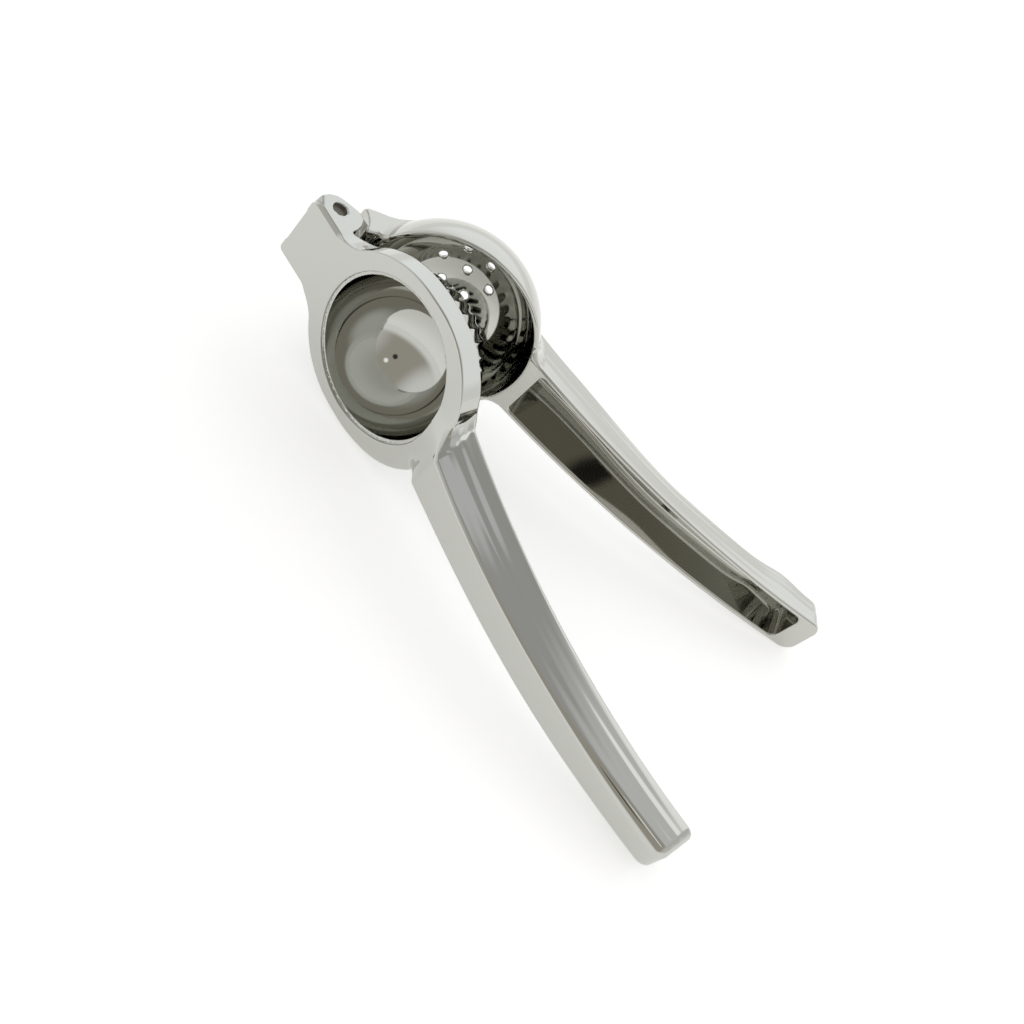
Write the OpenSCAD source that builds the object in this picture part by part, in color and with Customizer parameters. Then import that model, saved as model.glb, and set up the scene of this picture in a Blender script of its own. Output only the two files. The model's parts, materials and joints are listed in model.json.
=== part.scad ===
// Two-lever citrus press: the ridged dome of one lever squeezes half a fruit into the perforated cup of
// the other. Each lever is one casting with a hollow handle, and a pin hinges them at their short ends.
//
// Each lever is drawn in its own lever frame: the pin's axis is Z, +X runs from the pin along the handle,
// and the flat mouths of the ring and the cup lie near the plane y = 0, the dome lever on the -Y side.
// With both frames in line the press is shut. The levers are then opened and laid on their side.

/* [Levers] */
// Distance from the pin's axis to the end of the handles
lever_len = 217; // [200:1:240]
// Distance from the pin's axis to the centre of the ring and of the dome
dome_x = 46.6; // [46:0.1:50]
// Distance from the pin's axis to the centre of the cup
cup_x = 47.1; // [46.5:0.1:50]
// Angle between the levers as they stand open
open_angle = 31; // [10:1:60]

/* [Dome lever] */
// Outer radius of the flat ring, across the handle
ring_r = 31.3; // [31:0.1:32]
// How much farther the ring reaches along the handle than across it
ring_long = 3.4; // [2:0.1:3.6]
// Shift of the ring's outline towards the handle
ring_shift = 0.8; // [0.4:0.1:1]
// Depth of the ring's flat outer face below the hinge plane
ring_face_y = 7; // [6.6:0.1:8]
// Height of the ring's back above the hinge plane
ring_back_y = 0.7; // [0.2:0.1:0.9]
// Radius of the step round the mouth of the hollow
mouth_r = 27; // [26.5:0.1:27.5]
// Depth of that step
mouth_step = 0.9; // [0.5:0.1:2]
// Radius of the dome between its ridges
dome_r = 28; // [27.5:0.1:28.5]
// Depth of the dome's centre below the ring's outer face
dome_depth = 5.2; // [4:0.1:7]
// Thickness of the dome's wall
dome_wall = 1.7; // [1.2:0.1:2.5]
// Number of ridges round the dome
ridge_count = 36; // [24:1:40]
// Radius of a ridge's round back
ridge_r = 1.3; // [0.8:0.1:1.4]
// Height that a ridge stands above the dome
ridge_h = 0.7; // [0.3:0.1:0.9]

/* [Cup lever] */
// Outer radius of the cup
cup_r = 33.5; // [33:0.1:34]
// Thickness of the cup's wall
cup_wall = 1.8; // [1.4:0.1:2.2]
// Height of the cup's centre above the hinge plane
cup_y = 1.6; // [1.4:0.1:2]
// Height of the cup's rim above its centre
cup_rim = 0.3; // [0.1:0.1:0.5]
// Radius of a strainer hole
hole_r = 1.5; // [1:0.1:2.2]
// Number of strainer holes round the middle one
hole_count = 6; // [4:1:8]
// Angle of those holes from the cup's axis
hole_polar = 18; // [14:1:24]

/* [Handles] */
// Radius of the bow of the dome lever's open edge
press_edge_r = 310; // [305:1:330]
// Distance from the pin's axis to the lowest point of that edge
press_edge_x = 171.7; // [168:0.1:174]
// Depth of that point below the hinge plane
press_edge_y = 13.8; // [13.7:0.1:15]
// Radius of the bow of the dome lever's outer face
press_face_r = 362; // [350:1:375]
// Distance from the pin's axis to the lowest point of that face
press_face_x = 168.7; // [166:0.1:172]
// Depth of that point below the hinge plane
press_face_y = 26.4; // [26:0.1:28]
// Radius of the bow of the cup lever's open edge
cup_edge_r = 370; // [360:1:380]
// Distance from the pin's axis to the lowest point of that edge
cup_edge_x = 188.6; // [186:0.1:190]
// Depth of that point below the hinge plane
cup_edge_y = 15.6; // [14.5:0.1:15.8]
// Depth of the cup lever's handle along its middle
cup_depth = 15.3; // [14:0.1:16.5]
// Extra depth of the cup lever's handle where it leaves the cup
cup_depth_root = 5.2; // [3:0.1:6]
// Height of the swelling near the end of the cup lever's handle
end_swell = 2.2; // [0:0.1:3]
// Half width of a handle's open edge at the bowl
edge_half_root = 12.4; // [11.5:0.1:13]
// Half width of a handle's open edge at its end
edge_half_tip = 9.1; // [8.5:0.1:10]
// Half width of a handle's outer face at the bowl
face_half_root = 7.6; // [7:0.1:8]
// Half width of a handle's outer face at its end
face_half_tip = 5.5; // [5:0.1:6.5]
// Thickness of the handles' walls
handle_wall = 1.9; // [1.5:0.1:2.4]
// Length of the solid metal at the end of each handle
end_solid = 9; // [7:0.5:12]
// Radius that rounds the end of each handle
end_round = 4; // [3:0.5:4.5]

/* [Hinge] */
// Radius of the hinge pin
pin_r = 2.5; // [2:0.1:3]
// Depth of the pin's ends below the sides of the ears
pin_recess = 1.2; // [0.5:0.1:3]
// Radial clearance of the pin in the cup lever's knuckle
pin_clear = 0.05; // [0.02:0.01:0.1]
// Half width of the hinge plate, the ears and the arm
ear_half = 13; // [12.5:0.1:14]
// Half width of the knuckle between the ears
knuckle_half = 7; // [5.5:0.1:8]
// Clearance between each side of the knuckle and its ear
side_clear = 0.2; // [0.1:0.05:0.5]
// Radius of the knuckle round the pin
knuckle_r = 4.8; // [4.5:0.1:4.9]
// Thickness of the plate behind the knuckle
plate_t = 1.6; // [1.2:0.1:1.7]
// Distance from the pin's axis to the free end of the plate
plate_end = 5; // [4.8:0.1:5.2]
// Width of the bevel along the plate's sides and its free end
plate_bevel = 1.2; // [0.6:0.1:1.6]
// Radius of the arm's hollow shoulder, which clears the ears
shoulder_r = 10.1; // [10:0.1:10.6]
// Radius of the fillets that join the plate to the ring
plate_fillet = 5; // [3:0.5:8]
// Radius of the fillets that join the handle to the ring
handle_fillet = 4; // [3:0.5:6]

/* [Hidden] */

$fn = 96;
edge_fn = 4;                                  // steps round each long edge of a handle
press_colour = [0.80, 0.80, 0.79];
cup_colour = [0.76, 0.77, 0.76];
pin_colour = [0.45, 0.44, 0.38];

dome_y = ring_face_y - dome_depth;            // depth of the dome's centre below the hinge plane
dome_in_r = dome_r - dome_wall;
cup_in_r = cup_r - cup_wall;
rim_y = cup_y + cup_rim;
handle_root = dome_x + mouth_r + 1;           // the dome lever's handle starts inside the ring
cup_bar_root = cup_x + cup_r / 2;             // the cup lever's handle starts inside the cup
step_len = 11;                                // over this run the ring's face steps out to the handle
cup_deep_to = 95;                             // the cup lever's handle tapers between these
cup_even_from = 150;
swell_x = 198;
swell_len = 9;
channel_root = cup_x + cup_in_r + 5;
rim_edge_r = 0.7;                             // rounding of a handle's open edges
face_edge_r = 1.8;                            // rounding of the long edges of its outer face
ridge_from = 6;                               // a ridge runs between these angles from the dome's mouth
ridge_to = 60;
ear_in = knuckle_half + side_clear;
handle_half_at_ring = 10;

function clamp01(t) = min(max(t, 0), 1);
function ease(a, b, x) = let (t = clamp01((x - a) / (b - a))) t * t * (3 - 2 * t);
function mix(a, b, t) = a + (b - a) * t;
function along(x) = clamp01((x - handle_root) / (lever_len - handle_root));
function bow(x, r, x0, y0) = (x - x0) * (x - x0) / (2 * r) - y0;

// How far the rounded end draws in
function end_t(x) = clamp01((x - lever_len + end_round) / end_round);
function end_in(x) = end_round * (1 - sqrt(1 - end_t(x) * end_t(x)));

// Half widths of both handles, and the curves of their open edges and outer faces
function edge_half(x) = mix(edge_half_tip, edge_half_root, pow(1 - along(x), 1.3)) - end_in(x);
function face_half(x) = mix(face_half_tip, face_half_root, exp(-(x - handle_root) / 22)) - 0.6 * end_in(x);

function press_edge(x) = min(bow(x, press_edge_r, press_edge_x, press_edge_y), ring_back_y)
    - 0.3 * end_in(x);
function press_face(x) =
    mix(-ring_face_y, bow(x, press_face_r, press_face_x, press_face_y),
        ease(handle_root, handle_root + step_len, x)) + 0.7 * end_in(x);

function cup_bow(x) = min(bow(x, cup_edge_r, cup_edge_x, cup_edge_y), rim_y);
function swell(x) = end_swell * exp(-pow((x - swell_x) / swell_len, 2));
function cup_edge(x) = cup_bow(x) + 0.3 * end_in(x);
function cup_face(x) = cup_bow(x) + cup_depth + swell(x)
    + cup_depth_root * (1 - ease(cup_deep_to, cup_even_from, x)) - 0.7 * end_in(x);

// Stations along a handle: even steps, then closer ones round the end
function stations(from, bend, to, n, m) =
    concat([for (i = [0 : n]) from + (bend - from) * i / n],
           [for (i = [1 : m]) bend + (to - bend) * sin(90 * i / m)]);

// Cross-section of a handle at x: a trapezium from its open edge to its outer face, with rounded edges,
// listed once round as points [x, y, z]
function section(x, rim_y, face_y, rim_z, face_z, rim_e, face_e) =
    let (s = sign(face_y - rim_y),
         half = concat(
             [for (i = [0 : edge_fn]) let (a = 90 * i / edge_fn)
                 [x, rim_y + s * rim_e * (1 - cos(a)), rim_z - rim_e * (1 - sin(a))]],
             [for (i = [0 : edge_fn]) let (a = 90 * i / edge_fn)
                 [x, face_y - s * face_e * (1 - sin(a)), face_z - face_e * (1 - cos(a))]]))
    concat(half, [for (i = [len(half) - 1 : -1 : 0]) [x, half[i][1], -half[i][2]]]);

// Solid through a list of sections. It's turned inside out when the sections run the other way round.
module loft(rings, flip = false) {
    n = len(rings[0]);
    m = len(rings);
    sides = [for (j = [0 : m - 2]) for (i = [0 : n - 1]) let (k = (i + 1) % n)
        each [[j * n + i, j * n + k, (j + 1) * n + k], [j * n + i, (j + 1) * n + k, (j + 1) * n + i]]];
    strips = [for (i = [0 : n / 2 - 2]) [i, n - 1 - i, n - 2 - i, i + 1]];
    ends = concat(strips, [for (f = strips) [for (i = [3 : -1 : 0]) f[i] + (m - 1) * n]]);
    inward = concat(sides, ends);
    polyhedron([for (r = rings) each r],
               flip ? inward : [for (f = inward) [for (i = [len(f) - 1 : -1 : 0]) f[i]]],
               convexity = 4);
}

// The handles as solid bars, and the channels that hollow them out from their open edges
handle_at = stations(handle_root, lever_len - end_round, lever_len, 24, 5);
cup_bar_at = concat([cup_bar_root], handle_at);
channel_end = lever_len - end_solid;
channel_at = stations(channel_root, channel_end - 3, channel_end, 18, 3);
function nose_in(x) = 3 * (1 - sqrt(1 - pow(clamp01((x - channel_end + 3) / 3), 2)));
function channel_edge(x) = edge_half(x) - handle_wall - nose_in(x);
function channel_face(x) = max(face_half(x) - handle_wall - nose_in(x), 1);

module press_bar() {
    loft([for (x = handle_at)
        section(x, press_edge(x), press_face(x), edge_half(x), face_half(x), rim_edge_r, face_edge_r)]);
}

module press_channel() {
    loft([for (x = channel_at)
        section(x, press_edge(x) + 1, press_face(x) + handle_wall,
                channel_edge(x), channel_face(x), 0.3, 1)]);
}

module cup_bar() {
    loft([for (x = cup_bar_at)
        section(x, cup_edge(x), cup_face(x), edge_half(x), face_half(x), rim_edge_r, face_edge_r)], true);
}

module cup_channel() {
    loft([for (x = channel_at)
        section(x, cup_edge(x) - 1, cup_face(x) - handle_wall,
                channel_edge(x), channel_face(x), 0.3, 1)], true);
}

// Round solids whose axis is Y, between two heights
module disc(x, r, y0, y1) {
    translate([x, y1, 0])
        rotate([90, 0, 0])
            cylinder(r = r, h = y1 - y0);
}

// Outline of the ring, an oval that is longest along the handle
function ring_at(a) = ring_r + ring_long * pow(abs(cos(a)), 1.4) + ring_shift * cos(a);
ring_outline = [for (i = [0 : 119]) let (a = 3 * i) ring_at(a) * [cos(a), sin(a)]];

module ring_plate(y0, y1) {
    translate([dome_x, y1, 0])
        rotate([90, 0, 0])
            linear_extrude(y1 - y0)
                polygon(ring_outline);
}

// Fillets of radius r between the ring and a straight part of half width w that leaves it along dir * X
module root_fillets(dir, w, r, y0, y1) {
    reach = ring_at(dir > 0 ? 0 : 180);
    cx = sqrt(pow(reach + r, 2) - pow(w + r, 2));
    tx = cx * reach / (reach + r);
    tz = (w + r) * reach / (reach + r);
    translate([dome_x, y1, 0])
        rotate([90, 0, 0])
            for (side = [-1, 1])
                linear_extrude(y1 - y0)
                    difference() {
                        polygon([[dir * (tx - 4), 0], [dir * cx, 0], [dir * cx, side * w],
                                 [dir * tx, side * tz], [dir * (tx - 4), side * (tz - 2)]]);
                        translate([dir * cx, side * (w + r)])
                            circle(r = r);
                    }
}

// The dome's ridges: round bars bent along the dome from near its mouth towards its crown
module ridges() {
    translate([dome_x, -dome_y, 0])
        rotate([-90, 0, 0])
            for (i = [0 : ridge_count - 1])
                rotate([0, 0, 360 * (i + 0.5) / ridge_count])
                    rotate([90, 0, 0])
                        rotate([0, 0, ridge_from])
                            rotate_extrude(angle = ridge_to - ridge_from)
                                translate([dome_r + ridge_h - ridge_r, 0])
                                    circle(r = ridge_r, $fn = 24);
}

// Side view of one ear: a round lobe over the pin, and a web that runs on into the ring
web_x = dome_x - ring_at(180);
ear_points = [[-plate_end, -ring_face_y], [web_x + 5, -ring_face_y], [web_x + 5, ring_back_y],
              [web_x + 1, ring_back_y], [web_x - 1.6, -0.2], [9.6, -0.9], [8.7, -0.5], [8.3, 1.6],
              [7.3, 4], [5.7, 6.1], [4.8, 6.8], [3.8, 7.1], [2.8, 7.1], [1.9, 6.9], [0.2, 6],
              [-3.2, 3.9], [-4.6, 2.8], [-5.4, 1.6], [-5.9, 0], [-6.1, -2], [-6, -4], [-5.6, -5.6]];

// Side view of the cup lever's arm, from its shoulder round the ears into the wall of the cup
module arm_profile() {
    difference() {
        polygon([[7, -0.2], [11, -0.1], [13, 1.3], [cup_x - cup_r, rim_y], [cup_x - cup_r + 4, rim_y],
                 [24, 21.4], [20.4, 19], [16.7, 15.4], [13.4, 13.2], [10, 11.6], [6.8, 9.8], [4, 5]]);
        circle(r = shoulder_r);
    }
}

module knuckle_profile() {
    circle(r = knuckle_r);
    polygon([[0, 0], [6, 0.1], [11, -0.1], [13, 1.3], [12, 12.4], [10, 11.6], [6.8, 9.8],
             [0, knuckle_r - 0.2]]);
}

// The plate between the ears, its free corners cut and its outer edges bevelled
module hinge_plate() {
    b = plate_bevel;
    end_x = web_x + 5;
    intersection() {
        translate([-plate_end, -ring_face_y, -ear_half])
            cube([end_x + plate_end, plate_t, 2 * ear_half]);
        translate([0, -ring_face_y + plate_t, 0])
            rotate([90, 0, 0])
                linear_extrude(plate_t)
                    polygon([[end_x, -ear_half], [end_x, ear_half], [b - plate_end, ear_half],
                             [-plate_end, ear_half - b], [-plate_end, b - ear_half],
                             [b - plate_end, -ear_half]]);
    }
}

// What the bevel takes off each long edge of the plate and the ears
module side_bevels() {
    b = plate_bevel;
    for (side = [-1, 1])
        translate([-plate_end - 2, -ring_face_y, side * ear_half])
            rotate([0, 90, 0])
                linear_extrude(web_x + plate_end)
                    polygon([[0, -1], [side * (b + 1), -1], [0, b]]);
}

module press_casting() {
    difference() {
        union() {
            ring_plate(-ring_face_y, ring_back_y);
            root_fillets(-1, ear_half, plate_fillet, -ring_face_y, ring_back_y - 3);
            root_fillets(1, handle_half_at_ring, handle_fillet, -ring_face_y, ring_back_y - 2);
            difference() {
                translate([dome_x, -dome_y, 0])
                    sphere(r = dome_r);
                translate([dome_x - dome_r - 1, -dome_y - 2 * dome_r, -dome_r - 1])
                    cube([2 * dome_r + 2, 2 * dome_r - 1, 2 * dome_r + 2]);
            }
            ridges();
            press_bar();
            hinge_plate();
            for (z = [-ear_half, ear_in])
                translate([0, 0, z])
                    linear_extrude(ear_half - ear_in)
                        polygon(ear_points);
        }
        disc(dome_x, mouth_r, -ring_face_y - 1, -ring_face_y + mouth_step);
        translate([dome_x, -dome_y, 0])
            sphere(r = dome_in_r);
        press_channel();
        side_bevels();
        translate([0, 0, -ear_half - 1])
            cylinder(r = pin_r, h = 2 * ear_half + 2);
    }
}

module cup_casting() {
    difference() {
        union() {
            difference() {
                translate([cup_x, cup_y, 0])
                    sphere(r = cup_r);
                translate([cup_x - cup_r - 1, rim_y - 2 * cup_r, -cup_r - 1])
                    cube([2 * cup_r + 2, 2 * cup_r, 2 * cup_r + 2]);
            }
            cup_bar();
            translate([0, 0, -ear_half])
                linear_extrude(2 * ear_half)
                    arm_profile();
            translate([0, 0, -knuckle_half])
                linear_extrude(2 * knuckle_half)
                    knuckle_profile();
        }
        translate([cup_x, cup_y, 0])
            sphere(r = cup_in_r);
        cup_channel();
        translate([cup_x, cup_y, 0])
            rotate([-90, 0, 0]) {
                cylinder(r = hole_r, h = cup_r + 1);
                for (i = [0 : hole_count - 1])
                    rotate([0, 0, 360 * i / hole_count])
                        rotate([0, hole_polar, 0])
                            cylinder(r = hole_r, h = cup_r + 1);
            }
        translate([0, 0, -knuckle_half - 1])
            cylinder(r = pin_r + pin_clear, h = 2 * knuckle_half + 2);
    }
}

// Laying the open press on its side. The levers turn apart about the pin, and together until the two
// handle ends are level. The press then leans forward, so that it stands on those ends and on the cup's side.
function spin(p, a) = [p[0] * cos(a) - p[1] * sin(a), p[0] * sin(a) + p[1] * cos(a)];
foot_x = lever_len - end_round;
press_foot = spin([foot_x, press_edge(foot_x)], -open_angle / 2);
cup_foot = spin([foot_x, cup_edge(foot_x)], open_angle / 2);
level = atan2(cup_foot[0] - press_foot[0], cup_foot[1] - press_foot[1]);
press_turn = level - open_angle / 2;
cup_turn = level + open_angle / 2;
cup_at = spin([cup_x, cup_y], cup_turn);
reach = spin(cup_foot, level)[0] - cup_at[0];
foot_w = edge_half(foot_x);
lean = asin(cup_r / norm([reach, foot_w])) - atan2(foot_w, reach);

// The origin is the middle of the press's box, at the level that it stands on
function lay(x, y, z, turn) = let (p = spin([x, y], turn))
    [p[0] * cos(lean) + z * sin(lean), p[1], z * cos(lean) - p[0] * sin(lean)];
end_w = edge_half(lever_len);
back_x = min([for (p = ear_points) lay(p[0], p[1], -ear_half, press_turn)[0]]);
front_x = max(lay(lever_len, cup_edge(lever_len), end_w, cup_turn)[0],
              lay(lever_len, press_edge(lever_len), end_w, press_turn)[0]);
left_y = max([for (x = handle_at) lay(x, cup_face(x), 0, cup_turn)[1]]);
right_y = min([for (x = handle_at) lay(x, press_face(x), 0, press_turn)[1]]);
floor_z = lay(cup_x, cup_y, 0, cup_turn)[2] - cup_r;

module lay_down(turn) {
    translate([-(back_x + front_x) / 2, -(left_y + right_y) / 2, -floor_z])
        rotate([0, lean, 0])
            rotate([0, 0, turn])
                children();
}

module press_lever() {
    color(press_colour)
        lay_down(press_turn)
            press_casting();
}

module cup_lever() {
    color(cup_colour)
        lay_down(cup_turn)
            cup_casting();
}

module hinge_pin() {
    color(pin_colour)
        lay_down(press_turn)
            translate([0, 0, pin_recess - ear_half])
                cylinder(r = pin_r, h = 2 * (ear_half - pin_recess));
}

press_lever();
cup_lever();
hinge_pin();
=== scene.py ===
import json
import math

import bpy
import numpy as np
from mathutils import Matrix, Vector


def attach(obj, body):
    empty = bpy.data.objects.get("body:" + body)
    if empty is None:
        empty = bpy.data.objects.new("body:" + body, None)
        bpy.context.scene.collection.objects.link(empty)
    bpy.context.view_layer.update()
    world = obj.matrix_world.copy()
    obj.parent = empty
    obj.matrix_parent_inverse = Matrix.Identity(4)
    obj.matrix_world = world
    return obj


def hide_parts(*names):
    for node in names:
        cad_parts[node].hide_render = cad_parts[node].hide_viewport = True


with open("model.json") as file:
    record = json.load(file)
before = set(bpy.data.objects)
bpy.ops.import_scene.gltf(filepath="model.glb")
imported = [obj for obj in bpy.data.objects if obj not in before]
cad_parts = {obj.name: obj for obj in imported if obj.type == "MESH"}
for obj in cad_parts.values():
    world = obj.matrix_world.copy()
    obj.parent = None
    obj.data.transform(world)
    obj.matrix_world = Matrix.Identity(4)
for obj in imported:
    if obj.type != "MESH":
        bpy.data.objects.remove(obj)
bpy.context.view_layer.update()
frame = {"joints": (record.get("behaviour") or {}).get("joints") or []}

# ---------------------------------------------------------------------------------------------------
# Sizes in millimetres, in each lever's own frame: the pin's axis is Z, +X runs along the handle, and the
# flat mouths of the ring and the cup lie near y = 0, the dome lever on the -Y side. A curved edge or face
# is given by the radius of its bow and the place of its lowest point.
# ---------------------------------------------------------------------------------------------------
LEVER_LEN, DOME_X, CUP_X, OPEN = 217.0, 46.6, 47.1, 31.0
RING_R, RING_LONG, RING_SHIFT, RING_FACE, RING_BACK = 31.3, 3.4, 0.8, 7.0, 0.7
MOUTH_R, MOUTH_STEP = 27.0, 0.9
DOME_R, DOME_DEPTH, DOME_WALL = 28.0, 5.2, 1.7
RIDGES, RIDGE_H = 36, 0.7
CUP_R, CUP_WALL, CUP_Y, CUP_RIM = 33.5, 1.8, 1.6, 0.3
HOLE_R, HOLES, HOLE_POLAR = 1.5, 6, 18.0
PRESS_EDGE = (310.0, 171.7, 13.8)
PRESS_FACE = (356.0, 166.0, 26.8)
CUP_EDGE = (370.0, 188.6, 15.6)
CUP_DEPTH, CUP_DEPTH_ROOT = 15.3, 5.2
SWELL, SWELL_X, SWELL_LEN = 2.2, 198.0, 9.0
EDGE_ROOT, EDGE_TIP, FACE_ROOT, FACE_TIP = 12.4, 9.1, 8.0, 5.5
WALL, END_SOLID, END_ROUND, END_TRIM, FLANK_CROWN, POLISH = 1.9, 9.0, 4.0, 0.15, 0.25, 0.12
STEP_LEN = 11.0
PIN_R, PIN_CLEAR = 2.5, 0.05
EAR_W, KNUCKLE_W, SIDE, KNUCKLE_R = 13.0, 7.0, 0.2, 4.8
PLATE_T, PLATE_END, PLATE_BEVEL, SHOULDER_R = 1.6, 5.0, 1.2, 10.1
PLATE_REACH, PLATE_ROUND = 6.2, 5.5
# How the ring's lengthening gathers at its ends, how the handles taper, and where the cup handle's depth
# at its root begins and ends to fade
RING_POWER, EDGE_TAPER, FACE_TAPER_LEN = 1.4, 1.3, 22.0
CUP_DEEP_TO, CUP_EVEN_FROM = 95.0, 150.0
# Swellings of the ring's face: how high, and between which places along the lever they rise. The second
# one stays near the middle, within about the width that is given.
RING_SWELL, ROOT_SWELL, ROOT_SWELL_W = (2.0, 56.0, 84.0), (5.0, 68.0, 86.0), 11.0
# Polishing waves of a flank: share, radians from edge to face, and length over which a wave drifts by one
WAVES = [(1.0, 17.0, 30.0), (0.6, 29.0, -45.0)]
# Latitudes on the dome at which its ridges have gone and are full, in radians, and how far below the
# ring's face it starts
RIDGE_NONE, RIDGE_FULL, DOME_SUNK = 1.29, 0.98, 3.0

# Radii of the rounded edges, of the channels' corners and of the fillets
RING_EDGE, PLATE_CORNER, PLATE_EDGE, EAR_EDGE, BEVEL_EDGE, MOUTH_EDGE = 0.6, 1.8, 0.4, 0.5, 0.4, 0.35
FACE_EDGE, FACE_EDGE_TIP, FACE_EDGE_FROM, OPEN_EDGE = 0.9, 3.0, 150.0, 1.0
CHANNEL_CORNER, CHANNEL_NOSE, CHANNEL_START, CHANNEL_LIP = 1.2, 3.0, 1.6, 0.6
PRESS_NOSE, CUP_NOSE = 3.6, 4.6
CUP_LIP, ARM_EDGE, SHOULDER_EDGE, KNUCKLE_EDGE, HOLE_EDGE, BORE_EDGE = 0.8, 1.2, 0.4, 0.3, 0.5, 0.25
EAR_FILLET, HEAD_FILLET, DOME_FILLET, CUP_FILLET, ARM_FILLET = 0.6, 6.0, 0.8, 4.0, 1.5
ROOT_FILLET, ROOT_FILLET_FACE = 3.0, 4.5
# Heights between which the root's fillet grows, and the plate's round corners turn into the ears' edges
ROOT_FILLET_Y, CORNER_Y = (-3.0, -8.0), (-6.5, -2.5)

DOME_Y = RING_FACE - DOME_DEPTH
DOME_IN = DOME_R - DOME_WALL
CUP_IN = CUP_R - CUP_WALL
RIM_Y = CUP_Y + CUP_RIM
HANDLE_ROOT = DOME_X + MOUTH_R + 1
CHANNEL_ROOT = CUP_X + CUP_IN + 5
CHANNEL_END = LEVER_LEN - END_SOLID
WEB_X = DOME_X - RING_R - RING_LONG + RING_SHIFT

# Size of a mesh cell, and the number of cells along a block that is skipped where it's empty
CELL = 0.5
BLOCK = 8
FAR = 9.0                                     # value at nodes that aren't near the surface
BATCH = 1500                                  # blocks worked out at once
STEP, SOFT_STEP = 0.05, 0.12                  # half the distance over which a slope is taken
PULL = 0.05                                   # how firmly a vertex stays by the middle of its crossings
MAX_SHIFT = 0.3                               # the most that a vertex is moved onto the surface at once


# ---------------------------------------------------------------------------------------------------
# Curves of the levers along their length
# ---------------------------------------------------------------------------------------------------
def ease(a, b, x):
    t = np.clip((x - a) / (b - a), 0, 1)
    return t * t * (3 - 2 * t)


def mix(a, b, t):
    return a + (b - a) * t


def bow(x, curve):
    radius, lowest_x, depth = curve
    return (x - lowest_x) ** 2 / (2 * radius) - depth


def edge_half(x):
    along = np.clip((x - HANDLE_ROOT) / (LEVER_LEN - HANDLE_ROOT), 0, 1)
    return mix(EDGE_TIP, EDGE_ROOT, (1 - along) ** EDGE_TAPER)


def face_half(x):
    return mix(FACE_TIP, FACE_ROOT, np.exp(-np.maximum(x - HANDLE_ROOT, 0) / FACE_TAPER_LEN))


def press_edge(x):
    return np.minimum(bow(x, PRESS_EDGE), RING_BACK)


def press_face(x):
    return mix(-RING_FACE, bow(x, PRESS_FACE), ease(HANDLE_ROOT, HANDLE_ROOT + STEP_LEN, x))


def cup_edge(x):
    return np.minimum(bow(x, CUP_EDGE), RIM_Y)


def cup_face(x):
    return (cup_edge(x) + CUP_DEPTH + CUP_DEPTH_ROOT * (1 - ease(CUP_DEEP_TO, CUP_EVEN_FROM, x))
            + SWELL * np.exp(-((x - SWELL_X) / SWELL_LEN) ** 2))


# ---------------------------------------------------------------------------------------------------
# Place of the lever frames in the part's frame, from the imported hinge
# ---------------------------------------------------------------------------------------------------
hinge = frame["joints"][0]
LEAN = math.atan2(hinge["axis"][0], hinge["axis"][2])


def tips_level():
    """Turn of the whole press about its pin at which both handle ends stand on the floor."""
    x, half = LEVER_LEN - END_ROUND, math.radians(OPEN / 2)
    press = Vector((x, float(press_edge(x)))).to_3d()
    cup = Vector((x, float(cup_edge(x)))).to_3d()
    gap = Matrix.Rotation(half, 3, "Z") @ cup - Matrix.Rotation(-half, 3, "Z") @ press
    return math.atan2(gap.x, gap.y)


def lever_matrix(turn_deg):
    """Lever frame in millimetres to the part's frame in metres."""
    return (Matrix.Translation(hinge["pos_m"]) @ Matrix.Rotation(LEAN, 4, "Y")
            @ Matrix.Rotation(tips_level() + math.radians(turn_deg), 4, "Z") @ Matrix.Scale(0.001, 4))


PRESS_PLACE = lever_matrix(-OPEN / 2)
CUP_PLACE = lever_matrix(OPEN / 2)

# ---------------------------------------------------------------------------------------------------
# Camera, placed in the dome lever's frame
# ---------------------------------------------------------------------------------------------------
CAMERA_AT = Vector((159.5, -283.3, 267.1))
CAMERA_RIGHT = Vector((0.530, 0.6247, 0.5735))
CAMERA_UP = Vector((-0.8378, 0.2809, 0.4682))
CAMERA_LENS = 45.04


def make_camera():
    data = bpy.data.cameras.new("camera")
    data.sensor_fit = "HORIZONTAL"
    data.sensor_width = 36.0
    data.lens = CAMERA_LENS
    data.clip_start, data.clip_end = 0.01, 20.0
    camera = bpy.data.objects.new("camera", data)
    bpy.context.scene.collection.objects.link(camera)
    turn = PRESS_PLACE.to_3x3()
    right = (turn @ CAMERA_RIGHT).normalized()
    back = right.cross(turn @ CAMERA_UP).normalized()
    axes = Matrix((right, back.cross(right), back)).transposed().to_4x4()
    camera.matrix_world = Matrix.Translation(PRESS_PLACE @ CAMERA_AT) @ axes
    bpy.context.scene.camera = camera


make_camera()


# ---------------------------------------------------------------------------------------------------
# Solids as distance fields, below zero inside. They join with fillets and cut with rounded edges, as on
# a casting that has been ground and polished.
# ---------------------------------------------------------------------------------------------------
def join(a, b, r):
    """Union with a fillet of radius r."""
    return np.maximum(np.minimum(a, b), r) - np.hypot(np.maximum(r - a, 0), np.maximum(r - b, 0))


def meet(a, b, r):
    """Intersection with an edge rounded to radius r."""
    return np.minimum(np.maximum(a, b), -r) + np.hypot(np.maximum(a + r, 0), np.maximum(b + r, 0))


def cut(a, b, r):
    return meet(a, -b, r)


def slab(t, low, high):
    return np.maximum(low - t, t - high)


def ball(x, y, z, centre_x, centre_y, r):
    return np.sqrt((x - centre_x) ** 2 + (y - centre_y) ** 2 + z * z) - r


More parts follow.
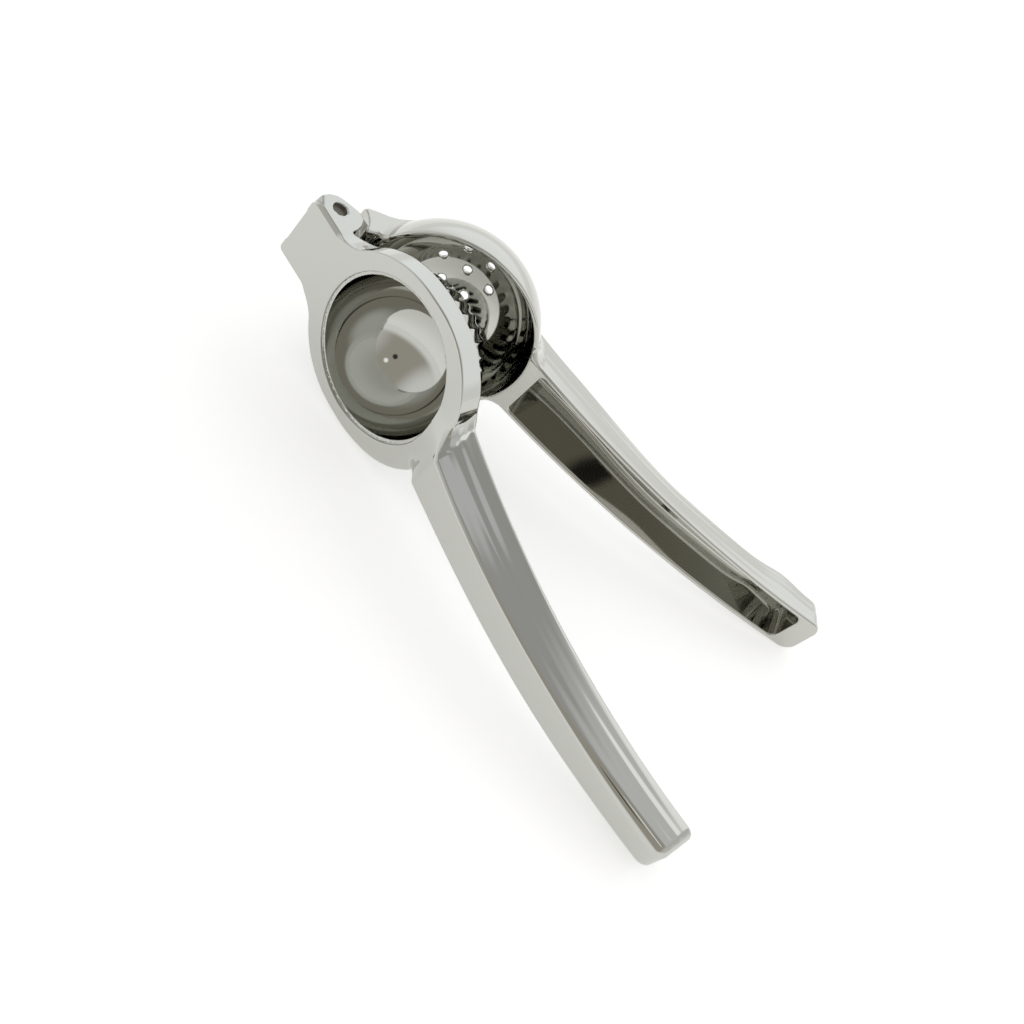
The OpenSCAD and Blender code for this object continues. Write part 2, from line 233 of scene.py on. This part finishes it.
def inside_polygon(x, y, points):
    """Distance to a closed outline, below zero inside it."""
    nearest = np.full(x.shape, 1e9)
    sign = np.ones(x.shape)
    for (ax, ay), (bx, by) in zip(points, points[-1:] + points[:-1]):
        ex, ey = bx - ax, by - ay
        wx, wy = x - ax, y - ay
        t = np.clip((wx * ex + wy * ey) / (ex * ex + ey * ey), 0, 1)
        nearest = np.minimum(nearest, (wx - ex * t) ** 2 + (wy - ey * t) ** 2)
        above, below, left = y >= ay, y < by, ex * wy > ey * wx
        sign = np.where((above & below & left) | ~(above | below | left), -sign, sign)
    return sign * np.sqrt(nearest)


def trapezium(x, y, z, edge, face, edge_w, face_w, side):
    """Flanks of a handle, and the height above its open edge; side is the sign from edge to face."""
    depth = np.maximum(np.abs(face - edge), 0.1)
    rise = (y - edge) * side
    slant = (edge_w - face_w) / depth
    flank = (np.abs(z) - mix(edge_w, face_w, rise / depth)) / np.sqrt(1 + slant * slant)
    return flank, rise, depth


def crown(x, rise, depth):
    """Slight swelling of a flank between its long edges, with the lengthwise waves left by polishing."""
    t = np.clip(rise / depth, 0, 1)
    waves = sum(share * np.sin(turns * t + x / drift) for share, turns, drift in WAVES)
    return (4 * FLANK_CROWN + POLISH * waves) * t * (1 - t)


def handle(x, y, z, edge, face, side, nose):
    flank, rise, depth = trapezium(x, y, z, edge(x), face(x), edge_half(x), face_half(x), side)
    face_edge = mix(FACE_EDGE, FACE_EDGE_TIP, ease(FACE_EDGE_FROM, LEVER_LEN, x))
    bar = meet(meet(flank - crown(x, rise, depth), rise - depth, face_edge), x - LEVER_LEN + END_TRIM, nose)
    return meet(bar, -rise, OPEN_EDGE)


def channel(x, y, z, edge, face, side):
    flank, rise, depth = trapezium(x, y, z, edge(x), face(x), edge_half(x) - WALL, face_half(x) - WALL,
                                   side)
    hollow = meet(meet(flank, rise - depth + WALL, CHANNEL_CORNER), x - CHANNEL_END, CHANNEL_NOSE)
    return meet(hollow, CHANNEL_ROOT - x, CHANNEL_START)


# Side views of the ears, the arm and the knuckle, and the back of the web between the ears and the ring
WEB_FROM = 9.0
WEB_BACK = [(9.6, -0.9), (WEB_X - 1.6, -0.2), (WEB_X + 1, RING_BACK)]
EAR = [(-PLATE_END, -RING_FACE), (WEB_X + 5, -RING_FACE), (WEB_X + 5, RING_BACK), *WEB_BACK[::-1],
       (8.7, -0.5), (8.3, 1.6), (7.3, 4), (5.7, 6.1), (4.8, 6.8), (3.8, 7.1), (2.8, 7.1), (1.9, 6.9),
       (0.2, 6), (-3.2, 3.9), (-4.6, 2.8), (-5.4, 1.6), (-5.9, 0), (-6.1, -2), (-6, -4), (-5.6, -5.6)]
ARM = [(7, -0.2), (11, -0.1), (13, 1.3), (CUP_X - CUP_R, RIM_Y), (CUP_X - CUP_R + 4, RIM_Y), (24, 21.4),
       (20.4, 19), (16.7, 15.4), (13.4, 13.2), (10, 11.6), (6.8, 9.8), (4, 5)]
KNUCKLE = [(0, 0), (6, 0.1), (11, -0.1), (13, 1.3), (12, 12.4), (10, 11.6), (6.8, 9.8),
           (0, KNUCKLE_R - 0.2)]


def press_field(x, y, z):
    rx = x - DOME_X
    rho = np.hypot(rx, z)
    # the ring, whose face swells out towards the handle and runs on into the handle's face
    swell, from_x, to_x = RING_SWELL
    root_swell, root_from_x, root_to_x = ROOT_SWELL
    middle = np.exp(-(z / ROOT_SWELL_W) ** 2)
    face = RING_FACE + swell * ease(from_x, to_x, x) + root_swell * ease(root_from_x, root_to_x, x) * middle
    lengthwise = rx / np.maximum(rho, 1)
    outline = RING_R + RING_LONG * np.abs(lengthwise) ** RING_POWER + RING_SHIFT * lengthwise
    ring = meet(rho - outline, slab(y, -face, RING_BACK), RING_EDGE)
    # the plate behind the hinge, the ears on it and the bevels along its sides
    plate = meet(slab(x, -PLATE_END, DOME_X - 20), np.abs(z) - EAR_W, PLATE_CORNER)
    plate = meet(plate, slab(y, -RING_FACE, -RING_FACE + PLATE_T), PLATE_EDGE)
    ears = meet(inside_polygon(x, y, EAR), slab(np.abs(z), KNUCKLE_W + SIDE, EAR_W), EAR_EDGE)
    bevel = PLATE_BEVEL * (1 - ease(8, 14, x))
    slope = (np.abs(z) - EAR_W - (y + RING_FACE) + bevel) / math.sqrt(2)
    head = meet(join(plate, ears, EAR_FILLET), slope, BEVEL_EDGE)
    corner = mix(PLATE_ROUND, EAR_EDGE, ease(*CORNER_Y, y))
    head = np.maximum(head, meet(-PLATE_REACH - x, np.abs(z) - EAR_W, corner))
    body = np.maximum(join(ring, head, HEAD_FILLET), -face - y)
    # the fillets end at the web's back, where the closed cup lever's arm comes down
    back = np.interp(x, *zip(*WEB_BACK))
    body = np.maximum(body, np.minimum(y - back, x - WEB_FROM))
    # the dome, with ridges that fade out towards its crown
    dy = y + DOME_Y
    latitude = np.arctan2(dy, rho)
    wave = np.abs(np.sin(np.arctan2(z, rx) * RIDGES / 2))
    dome = np.hypot(rho, dy) - DOME_R - RIDGE_H * (1 - wave) * ease(RIDGE_NONE, RIDGE_FULL, latitude)
    body = join(body, np.maximum(dome, -y - RING_FACE + DOME_SUNK), DOME_FILLET)
    # the handle, whose fillet grows from its open edge towards its face
    bar = np.maximum(handle(x, y, z, press_edge, press_face, -1, PRESS_NOSE), HANDLE_ROOT - x)
    body = join(body, bar, mix(ROOT_FILLET, ROOT_FILLET_FACE, ease(*ROOT_FILLET_Y, y)))
    # the hollows and the bore for the pin
    mouth = np.maximum(rho - MOUTH_R, y + RING_FACE - MOUTH_STEP)
    body = cut(body, np.minimum(ball(x, y, z, DOME_X, -DOME_Y, DOME_IN), mouth), MOUTH_EDGE)
    body = cut(body, channel(x, y, z, press_edge, press_face, -1), CHANNEL_LIP)
    return cut(body, np.hypot(x, y) - PIN_R, BORE_EDGE)


def strainer_holes(x, y, z):
    """Bores through the cup: one along its axis and a circle of others round it."""
    x, y = x - CUP_X, y - CUP_Y
    bores = np.hypot(x, z) - HOLE_R
    for i in range(HOLES):
        around, polar = 2 * math.pi * i / HOLES, math.radians(HOLE_POLAR)
        dx, dy, dz = math.sin(polar) * math.cos(around), math.cos(polar), math.sin(polar) * math.sin(around)
        along = x * dx + y * dy + z * dz
        bores = np.minimum(bores, np.sqrt(np.maximum(x * x + y * y + z * z - along * along, 0)) - HOLE_R)
    return np.maximum(bores, -y)


def cup_field(x, y, z):
    shell = meet(ball(x, y, z, CUP_X, CUP_Y, CUP_R), RIM_Y - y, CUP_LIP)
    bar = np.maximum(handle(x, y, z, cup_edge, cup_face, 1, CUP_NOSE), CUP_X + CUP_R / 2 - x)
    body = join(shell, bar, CUP_FILLET)
    # the arm and the knuckle that the pin runs in
    arm = meet(inside_polygon(x, y, ARM), np.abs(z) - EAR_W, ARM_EDGE)
    body = join(body, cut(arm, np.hypot(x, y) - SHOULDER_R, SHOULDER_EDGE), ARM_FILLET)
    knuckle = np.minimum(np.hypot(x, y) - KNUCKLE_R, inside_polygon(x, y, KNUCKLE))
    body = np.minimum(body, meet(knuckle, np.abs(z) - KNUCKLE_W, KNUCKLE_EDGE))
    # the hollows, the strainer holes and the bore
    body = cut(body, ball(x, y, z, CUP_X, CUP_Y, CUP_IN), CUP_LIP)
    body = cut(body, channel(x, y, z, cup_edge, cup_face, 1), CHANNEL_LIP)
    body = cut(body, strainer_holes(x, y, z), HOLE_EDGE)
    return cut(body, np.hypot(x, y) - PIN_R - PIN_CLEAR, BORE_EDGE)


# ---------------------------------------------------------------------------------------------------
# Fields to meshes: dual contouring, one vertex in each cell that the surface crosses
# ---------------------------------------------------------------------------------------------------
def normals_at(field, points, h):
    slope = np.empty_like(points)
    for k in range(3):
        ahead, behind = points.copy(), points.copy()
        ahead[:, k] += h
        behind[:, k] -= h
        slope[:, k] = field(*ahead.T) - field(*behind.T)
    return slope / np.maximum(np.linalg.norm(slope, axis=1), 1e-9)[:, None]


def grid_lines(low, high, fine=()):
    """Places of the grid's nodes along one axis, twice as close within the fine stretches."""
    lines = [low]
    while lines[-1] < high:
        half = any(start < lines[-1] < end for start, end in fine)
        lines.append(lines[-1] + (CELL / 2 if half else CELL))
    return np.array(lines + [lines[-1] + CELL * k for k in range(1, BLOCK - (len(lines) - 1) % BLOCK)])


def at_nodes(grid, nodes):
    """Places of nodes. The grid bends and narrows with the handle, so that its edges run along the cells."""
    lines, edge = grid
    x, y, z = (line[nodes[:, k]] for k, line in enumerate(lines))
    return np.stack([x, y + edge(x), z * edge_half(x) / EDGE_ROOT], 1)


def sample(field, grid):
    """Values at the grid's nodes, worked out only in the blocks that the surface may pass."""
    count = np.array([len(line) for line in grid[0]])
    places = np.stack(np.meshgrid(*map(np.arange, count // BLOCK), indexing="ij"), -1).reshape(-1, 3) * BLOCK
    middle = field(*at_nodes(grid, places + BLOCK // 2).T)
    values = np.where(middle < 0, -FAR, FAR).reshape(count // BLOCK)
    for axis in range(3):
        values = np.repeat(values, BLOCK, axis)
    cell = np.stack(np.meshgrid(*[np.arange(BLOCK)] * 3, indexing="ij"), -1).reshape(-1, 3)
    near = places[np.abs(middle) < 1.5 * CELL * BLOCK]
    for part in np.array_split(near, max(1, len(near) // BATCH)):
        nodes = (part[:, None] + cell).reshape(-1, 3)
        values[tuple(nodes.T)] = field(*at_nodes(grid, nodes).T)
    return values


def contour(field, grid):
    values = sample(field, grid)
    inside = values < 0
    ids, planes = [], []
    for axis in range(3):
        unit = np.eye(3, dtype=int)
        u, v = (axis + 1) % 3, (axis + 2) % 3
        this = [slice(1, -1)] * 3
        after = list(this)
        this[axis], after[axis] = slice(0, -1), slice(1, None)
        start = np.argwhere(inside[tuple(this)] != inside[tuple(after)])
        start[:, [u, v]] += 1
        a, b = values[tuple(start.T)], values[tuple((start + unit[axis]).T)]
        near, far = at_nodes(grid, start), at_nodes(grid, start + unit[axis])
        hits = near + (a / (a - b))[:, None] * (far - near)
        around = ((0, 0), (1, 0), (1, 1), (0, 1))
        ring = np.stack([start - du * unit[u] - dv * unit[v] for du, dv in around], 1)
        ring[a > 0] = ring[a > 0][:, ::-1]
        ids.append(np.ravel_multi_index(tuple(ring.transpose(2, 0, 1)), values.shape))
        planes.append((hits, normals_at(field, hits, STEP)))
    cells, quads = np.unique(np.concatenate(ids), return_inverse=True)
    quads = quads.reshape(-1, 4)
    hits, normals = (np.concatenate(part) for part in zip(*planes))
    share = np.bincount(quads.ravel(), minlength=len(cells))[:, None]

    def gather(rows):
        """Sum of the crossings' rows over each cell."""
        return np.stack([np.bincount(quads.ravel(), np.repeat(row, 4), len(cells)) for row in rows.T], 1)

    # the point of each cell that lies best on the planes of its crossings
    centre = gather(hits) / share
    outer = gather((normals[:, :, None] * normals[:, None]).reshape(-1, 9)).reshape(-1, 3, 3)
    pull = gather(normals * (normals * hits).sum(1)[:, None]) - np.einsum("nij,nj->ni", outer, centre)
    weight = PULL * share[:, :, None] * np.eye(3)
    points = centre + np.clip(np.linalg.solve(outer + weight, pull[:, :, None])[:, :, 0], -CELL, CELL)
    for _ in range(2):
        points -= normals_at(field, points, STEP) * np.clip(field(*points.T), -MAX_SHIFT, MAX_SHIFT)[:, None]
    return points, quads, normals_at(field, points, SOFT_STEP)


def casting(name, field, grid, place, material):
    points, quads, normals = contour(field, grid)
    turn = np.array(place.to_3x3().normalized())
    mesh = bpy.data.meshes.new(name)
    mesh.from_pydata((points @ np.array(place)[:3, :3].T + np.array(place)[:3, 3]).tolist(), [],
                     quads.tolist())
    mesh.polygons.foreach_set("use_smooth", np.ones(len(quads), bool))
    mesh.normals_split_custom_set_from_vertices((normals @ turn.T).tolist())
    mesh.materials.append(material)
    piece = bpy.data.objects.new(name, mesh)
    bpy.context.scene.collection.objects.link(piece)
    return piece


# ---------------------------------------------------------------------------------------------------
# Materials
# ---------------------------------------------------------------------------------------------------
def plated(name, colour, rough, ripple):
    """Polished metal with faint smears in its gloss and slow ripples left by the polishing wheel."""
    material = bpy.data.materials.new(name)
    material.use_nodes = True
    nodes, links = material.node_tree.nodes, material.node_tree.links
    shader = nodes["Principled BSDF"]
    shader.inputs["Metallic"].default_value = 1.0
    shader.inputs["Base Color"].default_value = (*colour, 1)
    coords = nodes.new("ShaderNodeTexCoord")
    smear = nodes.new("ShaderNodeTexNoise")
    smear.inputs["Scale"].default_value = 180.0
    smear.inputs["Detail"].default_value = 4.0
    gloss = nodes.new("ShaderNodeMapRange")
    gloss.inputs["To Min"].default_value = rough * 0.7
    gloss.inputs["To Max"].default_value = rough * 1.4
    wave = nodes.new("ShaderNodeTexNoise")
    wave.inputs["Scale"].default_value = 45.0
    wave.inputs["Detail"].default_value = 1.0
    bump = nodes.new("ShaderNodeBump")
    bump.inputs["Strength"].default_value = ripple
    bump.inputs["Distance"].default_value = 0.0004
    links.new(coords.outputs["Object"], smear.inputs["Vector"])
    links.new(smear.outputs["Fac"], gloss.inputs["Value"])
    links.new(gloss.outputs["Result"], shader.inputs["Roughness"])
    links.new(coords.outputs["Object"], wave.inputs["Vector"])
    links.new(wave.outputs["Fac"], bump.inputs["Height"])
    links.new(bump.outputs["Normal"], shader.inputs["Normal"])
    return material


press_chrome = plated("press_chrome", (0.53, 0.535, 0.50), 0.05, 0.06)
cup_chrome = plated("cup_chrome", (0.53, 0.53, 0.49), 0.05, 0.06)
# The pin's dark olive colour is painted shade: it stands for the dark look of the recess that the pin's end
# sits in.
pin_shade_dark = plated("pin_shade_dark", (0.14, 0.13, 0.11), 0.35, 0.2)

# ---------------------------------------------------------------------------------------------------
# Pieces
# ---------------------------------------------------------------------------------------------------
# The grids start off the round numbers, so that no flat face lies along their nodes
ALONG = grid_lines(-8.13, LEVER_LEN + 2)
ACROSS = grid_lines(-36.33, 36.33)
PRESS_GRID = ((ALONG, grid_lines(-22.4, 27.5, [(-10.2, -5.7)]), ACROSS), press_edge)
CUP_GRID = ((ALONG, grid_lines(-8.4, 35.5), ACROSS), cup_edge)

press = casting("press_casting", press_field, PRESS_GRID, PRESS_PLACE, press_chrome)
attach(press, "dome_side")
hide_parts("press_lever")

cup = casting("cup_casting", cup_field, CUP_GRID, CUP_PLACE, cup_chrome)
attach(cup, "cup_side")
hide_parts("cup_lever")

# gives the hinge pin the dark colour of painted shade
for slot in bpy.data.objects["hinge_pin"].material_slots:
    slot.material = pin_shade_dark


# ---------------------------------------------------------------------------------------------------
# Studio: a white floor and a pale light tent
# ---------------------------------------------------------------------------------------------------
FLOOR_SIZE = 1.5
FLOOR_COLOUR = 0.8
FLOOR_LIFT = 0.5                              # brings the lit floor up to the background's white
TENT = (0.46, 0.46, 0.44)
# Panels of the tent: azimuth, elevation, radius that is even, radius where it ends, colour
PANELS = [(-90, 30, 25, 55, (0.47, 0.44, 0.39)),
          (-5, 5, 20, 60, (0.76, 0.76, 0.74)),
          (-165, 25, 15, 50, (0.92, 0.92, 0.92)),
          (85, -5, 42, 80, (1.22, 1.24, 1.27)),
          (-60, 86, 10, 24, (0.48, 0.48, 0.48)),
          (22, 60, 10, 22, (0.76, 0.76, 0.77)),
          (52, 57, 8, 14, (1.3, 1.3, 1.3)),
          (125, 82, 2, 6, (0.72, 0.72, 0.74)),
          (-77, 38, 2.5, 4.5, (0.04, 0.04, 0.04)),
          (-65, 49, 2, 4, (1.3, 1.3, 1.3))]


# Elevations between which the white backdrop gives way to the tent in what metal shows
BACKDROP_FADE = (5, 14)


def seen_directly(nodes, links):
    """1 for rays from the camera or off metal, 0 for the rays that light things."""
    path = nodes.new("ShaderNodeLightPath")
    seen = path.outputs["Is Camera Ray"]
    for kind in ("Is Glossy Ray", "Is Transmission Ray"):
        both = nodes.new("ShaderNodeMath")
        both.operation = "MAXIMUM"
        links.new(seen, both.inputs[0])
        links.new(path.outputs[kind], both.inputs[1])
        seen = both.outputs[0]
    return seen


def make_floor():
    mesh = bpy.data.meshes.new("floor")
    mesh.from_pydata([(x * FLOOR_SIZE, y * FLOOR_SIZE, 0) for x, y in ((-1, -1), (1, -1), (1, 1), (-1, 1))],
                     [], [(0, 1, 2, 3)])
    material = bpy.data.materials.new("floor_white")
    material.use_nodes = True
    nodes, links = material.node_tree.nodes, material.node_tree.links
    shader = nodes["Principled BSDF"]
    shader.inputs["Base Color"].default_value = (FLOOR_COLOUR, FLOOR_COLOUR, FLOOR_COLOUR, 1)
    shader.inputs["Roughness"].default_value = 1.0
    shader.inputs["Specular IOR Level"].default_value = 0.0
    shader.inputs["Emission Color"].default_value = (1, 1, 1, 1)
    lift = nodes.new("ShaderNodeMath")
    lift.operation = "MULTIPLY"
    lift.inputs[1].default_value = FLOOR_LIFT
    links.new(seen_directly(nodes, links), lift.inputs[0])
    links.new(lift.outputs[0], shader.inputs["Emission Strength"])
    mesh.materials.append(material)
    floor = bpy.data.objects.new("floor", mesh)
    bpy.context.scene.collection.objects.link(floor)


def facing(azimuth, elevation):
    a, e = math.radians(azimuth), math.radians(elevation)
    return (math.cos(e) * math.cos(a), math.cos(e) * math.sin(a), math.sin(e))


def make_world():
    """The inside of a light tent: grey cloth with soft round panels, each painted over the last."""
    world = bpy.data.worlds.new("tent")
    bpy.context.scene.world = world
    world.use_nodes = True
    nodes, links = world.node_tree.nodes, world.node_tree.links
    sky = nodes["Background"]
    coords = nodes.new("ShaderNodeTexCoord")
    colour = nodes.new("ShaderNodeRGB")
    colour.outputs[0].default_value = (*TENT, 1)
    seen = colour.outputs[0]
    for azimuth, elevation, inner, outer, panel in PANELS:
        angle = nodes.new("ShaderNodeVectorMath")
        angle.operation = "DOT_PRODUCT"
        angle.inputs[1].default_value = facing(azimuth, elevation)
        edge = nodes.new("ShaderNodeMapRange")
        edge.interpolation_type = "SMOOTHSTEP"
        edge.inputs["From Min"].default_value = math.cos(math.radians(outer))
        edge.inputs["From Max"].default_value = math.cos(math.radians(inner))
        paint = nodes.new("ShaderNodeMix")
        paint.data_type = "RGBA"
        paint.inputs["B"].default_value = (*panel, 1)
        links.new(coords.outputs["Generated"], angle.inputs[0])
        links.new(angle.outputs["Value"], edge.inputs["Value"])
        links.new(edge.outputs["Result"], paint.inputs["Factor"])
        links.new(seen, paint.inputs["A"])
        seen = paint.outputs["Result"]
    # the white backdrop behind it all, which metal shows too as far up as the backdrop reaches
    upward = nodes.new("ShaderNodeSeparateXYZ")
    links.new(coords.outputs["Generated"], upward.inputs["Vector"])
    height = nodes.new("ShaderNodeMapRange")
    height.interpolation_type = "SMOOTHSTEP"
    height.inputs["From Min"].default_value = math.sin(math.radians(BACKDROP_FADE[1]))
    height.inputs["From Max"].default_value = math.sin(math.radians(BACKDROP_FADE[0]))
    links.new(upward.outputs["Z"], height.inputs["Value"])
    low = nodes.new("ShaderNodeMath")
    low.operation = "MULTIPLY"
    links.new(seen_directly(nodes, links), low.inputs[0])
    links.new(height.outputs["Result"], low.inputs[1])
    path = nodes.new("ShaderNodeLightPath")
    backdrop = nodes.new("ShaderNodeMath")
    backdrop.operation = "MAXIMUM"
    links.new(path.outputs["Is Camera Ray"], backdrop.inputs[0])
    links.new(low.outputs[0], backdrop.inputs[1])
    white = nodes.new("ShaderNodeMix")
    white.data_type = "RGBA"
    white.inputs["B"].default_value = (1, 1, 1, 1)
    links.new(backdrop.outputs[0], white.inputs["Factor"])
    links.new(seen, white.inputs["A"])
    links.new(white.outputs["Result"], sky.inputs["Color"])


make_floor()
make_world()
bpy.context.scene.view_settings.view_transform = "Standard"
